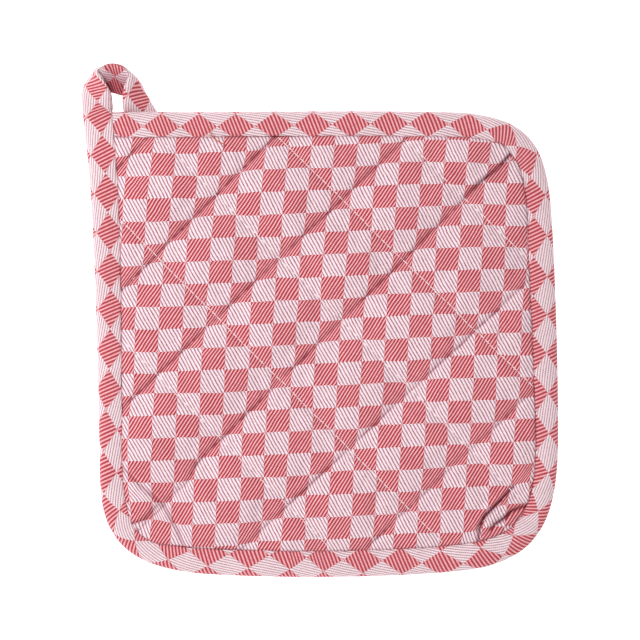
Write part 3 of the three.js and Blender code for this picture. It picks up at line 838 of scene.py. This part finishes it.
class POTHOLDER_OT_pad(bpy.types.Operator):
    """Make the quilted pad"""

    bl_idname = "potholder.make_pad"
    bl_label = "Quilted pad"

    def execute(self, context):
        """Face and back are square patches inside the border, raised by their height formulas.
        A rounded wall inside the tape joins them, with two face points to each back point."""
        shape, cloth = context.scene.pot_holder_shape, context.scene.pot_holder_cloth
        border = pad_outline(shape)
        sides = pad_sides(border)
        plan = square_patch(sides, PAD_CELLS)
        x, y = plan[..., 0], plan[..., 1]
        from_edge = border_distance(x, y, border)
        face = lifted(np.dstack([x, y, face_height(x, y, from_edge, shape)]))
        bx, by, back_edge = x[::2, ::2], y[::2, ::2], from_edge[::2, ::2]
        back = lifted(np.dstack([bx, by, back_height(bx, by, back_edge)]))
        face_number = np.arange(face[..., 0].size).reshape(face.shape[:2])
        back_number = np.arange(back[..., 0].size).reshape(back.shape[:2]) + face_number.size
        points = [face.reshape(-1, 3), back.reshape(-1, 3)]
        places = [
            np.stack(cloth_place(x, y, cloth), -1).reshape(-1, 2),
            np.stack(cloth_place(bx, by, cloth), -1).reshape(-1, 2),
        ]
        rim, back_rim = ring_of(face_number), ring_of(back_number)
        flat_rim = plan.reshape(-1, 2)[rim]
        tangent = unit(np.roll(flat_rim, -1, axis=0) - np.roll(flat_rim, 1, axis=0))
        outward = np.stack([-tangent[:, 1], tangent[:, 0]], 1)
        wall = []
        for reach, up in PAD_EDGE:
            out = flat_rim + outward * reach
            wall.append(lifted(np.column_stack([out, np.full(len(out), up)])))
        # Painted shade: on the face in its creases, its tucks and the gap at the binding, none on the
        # back, and full painted shade on the rounded edge inside the tape.
        painted_shade = [face_painted_shade(x, y, from_edge, shape).ravel(), np.zeros(back_number.size)]
        count = face_number.size + back_number.size
        rings = [rim]
        for row in wall:
            rings.append(np.arange(len(row)) + count)
            points.append(row)
            places.append(np.stack(cloth_place(row[:, 0], row[:, 1], cloth), -1))
            painted_shade.append(np.ones(len(row)))
            count += len(row)
        faces = [tuple(q[::-1]) for q in grid_faces(*face_number.shape)]
        faces += [tuple(q) for q in (grid_faces(*back_number.shape) + face_number.size)]
        for a, b in zip(rings, rings[1:]):
            faces += list(zip(a, np.roll(a, -1), np.roll(b, -1), b))
        last, half = rings[-1], len(back_rim)
        k = np.arange(half)
        a, m, b = last[2 * k], last[2 * k + 1], last[(2 * k + 2) % len(last)]
        c, d = back_rim[k], back_rim[(k + 1) % half]
        faces += list(zip(a, m, c)) + list(zip(m, b, d)) + list(zip(m, d, c))
        lines = (cloth.red_yarn, cloth.pink_yarn, cloth.white_yarn, cloth.shaded_yarn)
        threads = (cloth.warp_ends, cloth.weft_picks)
        material = twill_cloth("check cotton", *threads, *lines, cloth.painted_shade_colour)
        points, places, painted_shade = (np.concatenate(part) for part in (points, places, painted_shade))
        pad = new_piece("checked_pad", points, faces, places, material, painted_shade)
        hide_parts("quilted_pad")
        return {"FINISHED"}


def tape_frames(shape):
    """Frames along the whole tape: the fold's place, the way in across the tape, the way up out
    of it, its width, half its height, how far it has closed and how far it has turned over. The
    binding's frames stand on the edge; the loop's come from its two edges, with up square to
    both the tape and its run."""
    share, points, outward, width = edge_line(EDGE_ROWS)
    length = np.hypot(*np.diff(points, axis=0).T).sum()
    half = shape.edge_thickness / MM / 2
    steps = np.arange(-TUCKED_ROWS, 0)[:, None] * TUCKED_STEP
    points = np.concatenate([points[:1] + steps * np.array([[1, 0]]), points])
    outward = np.concatenate([np.repeat(outward[:1], TUCKED_ROWS, 0), outward])
    width = np.concatenate([np.full(TUCKED_ROWS, width[0]), width])
    along = np.concatenate([steps[:, 0], share * length])
    fold = np.column_stack([points, np.full(len(points), half)])
    across = np.column_stack([-outward, np.zeros(len(points))])
    up = np.tile([0.0, 0.0, 1.0], (len(points), 1))
    height = half * (1 - 0.42 * smooth(1 - (along + 2) / 9))
    closing = smooth((along - length + 9) / 9) * 0.5

    t = np.linspace(0, len(LOOP_SECTIONS) - 1, LOOP_ROWS)
    first = spline([row[0] for row in LOOP_SECTIONS], t)
    second = spline([row[1] for row in LOOP_SECTIONS], t)
    thick = spline([[row[2]] for row in LOOP_SECTIONS], t)[:, 0]
    wide = np.linalg.norm(second - first, axis=1)
    loop_across = (second - first) / wide[:, None]
    run = np.gradient((first + second) / 2, axis=0)
    loop_up = unit(np.cross(loop_across, run))
    loop_along = np.linalg.norm(np.diff((first + second) / 2, axis=0), axis=1)
    loop_along = length + np.concatenate([[0], np.cumsum(loop_along)])
    loop_closing = mix(0.5, 1, smooth(t / 1.2))
    turned = smooth((t - 3) / 1.5) * smooth((10 - t) / 1.5)
    join = lambda a, b: np.concatenate([a, b[SHARED_ROWS:]])
    return {
        "length": length,
        "along": join(along, loop_along),
        "fold": join(fold, first),
        "across": join(across, loop_across),
        "up": join(up, loop_up),
        "width": join(width, wide),
        "half": join(height, thick / 2),
        "closing": join(closing, loop_closing),
        "turned": join(np.zeros(len(along)), turned),
    }


def tape_sections(tape, shape):
    """Outer and inner lines of every section: the open and closed section tables as smooth
    curves, blended by how far the tape has closed; the inner line is the outer one moved in."""
    t = np.linspace(0, len(OPEN_SECTION) - 1, SECTION_POINTS)
    opened, closed = spline(OPEN_SECTION, t), spline(CLOSED_SECTION, t)
    section = mix(opened[None], closed[None], tape["closing"][:, None, None])
    outer = section * np.stack([tape["width"], tape["half"]], 1)[:, None]
    slope = unit(np.gradient(outer, axis=1))
    inwards = np.stack([-slope[..., 1], slope[..., 0]], 2)
    wall = mix(shape.flap / MM, 0.36 * tape["half"], smooth(tape["closing"] * 1.4))
    inner = outer + inwards * wall[:, None, None]
    return outer, inner


class POTHOLDER_OT_tape(bpy.types.Operator):
    """Make the bias tape, round the edge and on into the hanging loop"""

    bl_idname = "potholder.make_tape"
    bl_label = "Bias tape and loop"

    def execute(self, context):
        """One section of tape carried along the frames. Wrinkles are noise along the tape,
        strongest near the stitched edge; the check's place is the diamonds passed and the
        distance in from the fold, turned by an eighth of a turn."""
        shape, cloth = context.scene.pot_holder_shape, context.scene.pot_holder_cloth
        tape = tape_frames(shape)
        outer, inner = tape_sections(tape, shape)
        ring = np.concatenate([outer, inner[:, ::-1]], 1)
        along, share = tape["along"][:, None], tape["along"] / tape["length"]
        run = np.linalg.norm(np.diff(outer, axis=1), axis=2)
        round_the_fold = np.concatenate([np.zeros((len(run), 1)), np.cumsum(run, 1)], 1)
        fold = SECTION_POINTS // 2
        inset = (round_the_fold[:, fold : fold + 1] - round_the_fold) - FOLD_TAKES_UP
        inset = np.concatenate([inset, inset[:, ::-1]], 1)
        near_edge = np.clip(ring[..., 0] / tape["width"][:, None], 0, 1)
        level = ring[..., 1] / tape["half"][:, None]
        ripple = noise(along, near_edge * 4, 4.3, 41) + 0.6 * noise(along, near_edge * 6, 2.1, 42)
        soft = noise(along, near_edge * 8, 13, 43)
        on_top = smooth(level * 2)
        lift = on_top * (TAPE_RIPPLE * ripple * near_edge + TAPE_WAVE * soft)
        side = TAPE_SWAY * noise(along, 0, 7, 44) * near_edge * on_top
        along_across = (ring[..., 0] + side)[..., None] * tape["across"][:, None]
        along_up = (ring[..., 1] + lift)[..., None] * tape["up"][:, None]
        points = tape["fold"][:, None] + along_across + along_up
        on_edge = len(along) - (LOOP_ROWS - SHARED_ROWS)
        points[:on_edge] = lifted(points[:on_edge])
        shares, passed, middle = np.array(DIAMOND_ROW, float).T
        before = (passed[1] - passed[0]) / (shares[1] - shares[0]) * np.minimum(0, share - shares[0])
        count = (np.interp(share, shares, passed) + before)[:, None]
        from_middle = (inset - np.interp(share, shares, middle)[:, None]) / DIAMOND_HEIGHT
        places = np.stack([count - from_middle + 0.5, -count - from_middle + 0.5], -1)
        # Painted shade on the underside of the loop where it has turned over, fading towards its edge,
        # and full painted shade on the tape's inner lining.
        painted_shade = 0.75 * tape["turned"][:, None] * smooth(-level * 2) * (1 - near_edge**3)
        painted_shade[:, SECTION_POINTS:] = 1
        columns = ring.shape[1]
        faces = [tuple(q[::-1]) for q in grid_faces(len(ring), columns, closed_columns=True)]
        k = np.arange(SECTION_POINTS - 1)
        cap = np.stack([k, k + 1, columns - 2 - k, columns - 1 - k], 1)
        faces += [tuple(q) for q in cap] + [tuple(q[::-1]) for q in cap + (len(ring) - 1) * columns]
        lines = (cloth.tape_red, cloth.tape_pink, cloth.tape_white, cloth.tape_shaded)
        threads = (cloth.tape_ends, cloth.tape_picks)
        material = twill_cloth("check tape", *threads, *lines, cloth.painted_shade_colour)
        points, places = points.reshape(-1, 3), places.reshape(-1, 2)
        piece = new_piece("bias_tape", points, faces, places, material, painted_shade)
        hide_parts("edge_binding", "hanging_loop")
        return {"FINISHED"}


def stitch_shape():
    """One stitch as a low capsule along X from -1 to 1, 1 across: rings of a half sine's root,
    closed by two end faces."""
    rings, sides = 5, 6
    t = np.linspace(0.2, math.pi - 0.2, rings)[:, None]
    a = np.arange(sides) / sides * 2 * math.pi
    radius = np.sqrt(np.sin(t))
    along = np.broadcast_to(-np.cos(t), (rings, sides))
    points = np.stack([along, radius * np.cos(a), radius * np.sin(a)], -1)
    first = np.arange(sides)
    ends = [first[::-1], first + (rings - 1) * sides]
    return points.reshape(-1, 3), grid_faces(rings, sides, closed_columns=True), ends


def seam_points(seams, rising, step):
    """Middles of the stitches along each seam, where it lies inside a square round the pad."""
    middles, ways = [], []
    for seam in seams:
        if not seam[3]:
            continue
        along = np.arange(-SEAM_REACH, SEAM_REACH, step)
        across = seam_line(seam, along)
        pair = (along, across) if rising else (across, along)
        x, y = (pair[0] + pair[1]) / ROOT2, (pair[0] - pair[1]) / ROOT2
        middles.append(np.stack([x, y], 1))
        ways.append(unit(np.gradient(middles[-1], axis=0)))
    return np.concatenate(middles), np.concatenate(ways)


class POTHOLDER_OT_stitches(bpy.types.Operator):
    """Make the quilting stitches on the face and back"""

    bl_idname = "potholder.make_stitches"
    bl_label = "Quilting stitches"

    def execute(self, context):
        """A stitch is one capsule, set on the face or back at each step of each seam by the height
        formula and tilted by the surface's slope, with its top just proud of the cloth."""
        shape, cloth = context.scene.pot_holder_shape, context.scene.pot_holder_cloth
        border = pad_outline(shape)
        step = (shape.stitch + shape.stitch_gap) / MM
        sets = [seam_points(RISING_SEAMS, True, step), seam_points(FALLING_SEAMS, False, step)]
        middle = np.concatenate([m for m, _ in sets])
        way = np.concatenate([w for _, w in sets])
        sunk = np.repeat(STITCHES_SUNK, [len(m) for m, _ in sets])
        clear = border_distance(middle[:, 0], middle[:, 1], border) > shape.tuck / MM + STITCHES_CLEAR
        inside = inside_border(middle, border) & clear
        middle, way, sunk = middle[inside], way[inside], sunk[inside]
        reach, thick = shape.stitch / MM / 2, shape.sewing_thread / MM / 2
        template, faces, ends = stitch_shape()
        side = np.column_stack([-way[:, 1], way[:, 0], np.zeros(len(way))])
        points, quads, caps = [], [], []
        for surface, facing in ((on_face, 1), (on_back, -1)):
            start = surface(middle - way * reach, border, shape)
            end = surface(middle + way * reach, border, shape)
            run = (end - start) / 2
            up = facing * unit(np.cross(run, side))
            centre = (start + end) / 2 + up * (thick * 0.8 - sunk[:, None])
            numbers = (np.arange(len(centre)) + len(points) * len(centre)) * len(template)
            points.append(
                centre[:, None]
                + template[:, :1] * run[:, None]
                + template[:, 1:2] * thick * side[:, None] * facing
                + template[:, 2:] * thick * up[:, None]
            )
            quads.append((faces + numbers[:, None, None]).reshape(-1, 4))
            caps += [end_face + numbers[:, None] for end_face in ends]
        points = np.concatenate(points).reshape(-1, 3)
        all_faces = [*np.concatenate(quads), *np.concatenate(caps)]
        places = np.zeros((len(points), 2))
        material = yarn("sewing thread", cloth.thread)
        new_piece("quilting_stitches", points, all_faces, places, material)
        return {"FINISHED"}


class POTHOLDER_OT_loose_thread(bpy.types.Operator):
    """Make the loose end of red thread at the top binding"""

    bl_idname = "potholder.make_loose_thread"
    bl_label = "Loose thread"

    def execute(self, context):
        """A thin round tube along a smooth curve that lies on the tape and then on the face,
        thinner at both ends by a half sine's fourth root."""
        shape, cloth = context.scene.pot_holder_shape, context.scene.pot_holder_cloth
        border = pad_outline(shape)
        rows, sides = 60, 8
        plan = spline(LOOSE_THREAD, np.linspace(0, len(LOOSE_THREAD) - 1, rows))
        on_cloth = on_face(plan, border, shape)
        past_tape = border_distance(plan[:, 0], plan[:, 1], border) - shape.tuck / MM
        tape_top = shape.edge_thickness / MM * 1.06
        height = mix(tape_top, on_cloth[:, 2], smooth(past_tape / 1.5)) + 0.3
        line = np.column_stack([plan, height])
        tangent = unit(np.gradient(line, axis=0))
        side = unit(np.cross(tangent, [0, 0, 1]))
        up = np.cross(side, tangent)
        a = np.arange(sides) / sides * 2 * math.pi
        fade = np.sin(np.linspace(0.15, math.pi - 0.15, rows)) ** 0.25
        radius = (shape.loose_width / MM / 2 * fade)[:, None, None]
        ring = np.cos(a)[:, None] * side[:, None] + np.sin(a)[:, None] * up[:, None]
        points = (line[:, None] + radius * ring).reshape(-1, 3)
        first = np.arange(sides)
        faces = [*grid_faces(rows, sides, closed_columns=True)[:, ::-1], first]
        faces.append((first + (rows - 1) * sides)[::-1])
        places = np.zeros((len(points), 2))
        material = yarn("loose red thread", cloth.loose_thread)
        new_piece("loose_thread", points, faces, places, material)
        return {"FINISHED"}


def inside_border(points, border):
    """Which points lie inside the closed border: an odd number of crossings to the right."""
    a, b = border, np.roll(border, -1, axis=0)
    x, y = points[:, 0][:, None], points[:, 1][:, None]
    straddles = (a[None, :, 1] > y) != (b[None, :, 1] > y)
    run = np.where(b[:, 1] == a[:, 1], 1e-9, b[:, 1] - a[:, 1])
    crossing = a[:, 0] + (y - a[:, 1]) * (b[:, 0] - a[:, 0]) / run
    return (straddles & (x < crossing)).sum(1) % 2 == 1


class POTHOLDER_OT_stage(bpy.types.Operator):
    """Make the floor, the lights and the camera"""

    bl_idname = "potholder.make_stage"
    bl_label = "Stage"

    def execute(self, context):
        stage = context.scene.pot_holder_stage
        scene = context.scene
        points = FLOOR_REACH * np.array([(-1, -1, 0), (1, -1, 0), (1, 1, 0), (-1, 1, 0)])
        mesh = bpy.data.meshes.new("floor")
        mesh.from_pydata((points - [0, 0, 0.0002]).tolist(), [], [(0, 1, 2, 3)])
        floor = bpy.data.objects.new("floor", mesh)
        scene.collection.objects.link(floor)
        graph = Graph("pale floor")
        texture = graph.node("ShaderNodeTexCoord", output=3)
        grain = graph.node("ShaderNodeTexNoise", None, {"Vector": texture, "Scale": 30.0})
        tint = graph.blend(grain * 0.1, opaque(stage.floor), opaque([c * 0.97 for c in stage.floor]))
        shader = graph.node(
            "ShaderNodeBsdfPrincipled",
            None,
            {
                "Base Color": tint,
                "Roughness": 0.9,
                "Emission Color": (1, 1, 1, 1),
                "Emission Strength": 0.9,
            },
        )
        mesh.materials.append(graph.finish(shader))

        world = bpy.data.worlds.new("studio")
        world.use_nodes = True
        background = world.node_tree.nodes["Background"]
        background.inputs["Color"].default_value = (1, 1, 1, 1)
        background.inputs["Strength"].default_value = stage.fill
        scene.world = world
        light = bpy.data.lights.new("key", "AREA")
        light.energy, light.size = stage.key, LIGHT_WIDTH
        key = bpy.data.objects.new("key", light)
        key.location = LIGHT_PLACE
        key.rotation_euler = (-key.location).to_track_quat("-Z", "Y").to_euler()
        scene.collection.objects.link(key)

        lens = bpy.data.cameras.new("camera")
        lens.lens, lens.sensor_width = stage.lens, 36
        lens.clip_start, lens.clip_end = 0.01, 20
        camera = bpy.data.objects.new("camera", lens)
        camera.location = (0, 0, stage.frame_width * stage.lens / lens.sensor_width)
        scene.collection.objects.link(camera)
        scene.camera = camera
        scene.view_settings.view_transform = "Standard"
        return {"FINISHED"}


OPERATORS = (
    POTHOLDER_OT_swell,
    POTHOLDER_OT_pad,
    POTHOLDER_OT_tape,
    POTHOLDER_OT_stitches,
    POTHOLDER_OT_loose_thread,
    POTHOLDER_OT_stage,
)


class POTHOLDER_PT_panel(bpy.types.Panel):
    """Sizes, colours and the buttons that build the pot holder"""

    bl_label = "Pot Holder"
    bl_idname = "POTHOLDER_PT_panel"
    bl_space_type = "VIEW_3D"
    bl_region_type = "UI"
    bl_category = "Pot Holder"

    def draw(self, context):
        for group in ("pot_holder_shape", "pot_holder_cloth", "pot_holder_stage"):
            settings = getattr(context.scene, group)
            box = self.layout.box()
            for name in settings.__annotations__:
                box.prop(settings, name)
        for operator in OPERATORS:
            self.layout.operator(operator.bl_idname)


SETTINGS = {
    "pot_holder_shape": PotHolderShape,
    "pot_holder_cloth": PotHolderCloth,
    "pot_holder_stage": PotHolderStage,
}
CLASSES = (*SETTINGS.values(), *OPERATORS, POTHOLDER_PT_panel)


def register():
    for kind in CLASSES:
        bpy.utils.register_class(kind)
    for name, kind in SETTINGS.items():
        setattr(bpy.types.Scene, name, bpy.props.PointerProperty(type=kind))


def unregister():
    for name in SETTINGS:
        delattr(bpy.types.Scene, name)
    for kind in reversed(CLASSES):
        bpy.utils.unregister_class(kind)


def main():
    register()
    bpy.ops.potholder.swell_face()
    bpy.ops.potholder.make_pad()
    bpy.ops.potholder.make_tape()
    bpy.ops.potholder.make_stitches()
    bpy.ops.potholder.make_loose_thread()
    bpy.ops.potholder.make_stage()


if __name__ == "__main__":
    main()
